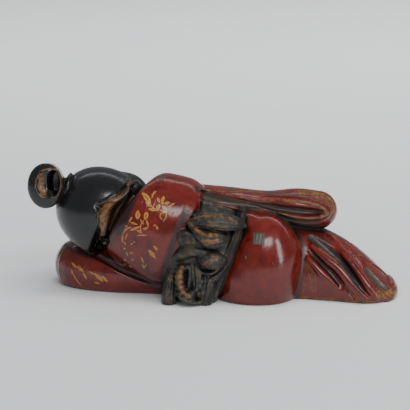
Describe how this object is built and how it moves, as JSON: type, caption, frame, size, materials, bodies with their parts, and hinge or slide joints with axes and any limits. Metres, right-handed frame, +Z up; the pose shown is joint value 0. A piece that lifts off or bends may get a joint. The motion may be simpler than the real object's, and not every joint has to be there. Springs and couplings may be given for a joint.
{
  "type": "netsuke",
  "caption": "Lacquered wood netsuke of a robed figure asleep on its side, head on one arm, sash bow at the back, flat underside with cord holes.",
  "frame": {"origin": "middle of the outline seen from above, on the flat underside that the netsuke rests on", "axes": "+Z up, X along the figure with the topknot at -X and the hem at +X, the sash bow and the back of the figure towards -Y and the face towards +Y"},
  "size_m": [0.0752, 0.0264, 0.0262],
  "materials": {
    "lacquered_wood": "carved wood under old glossy lacquer, red on the robe and black on the hair and sash, worn to ochre on the edges"
  },
  "bodies": {
    "root": {"reclining_figure": "lacquered_wood"}
  },
  "joints": []
}
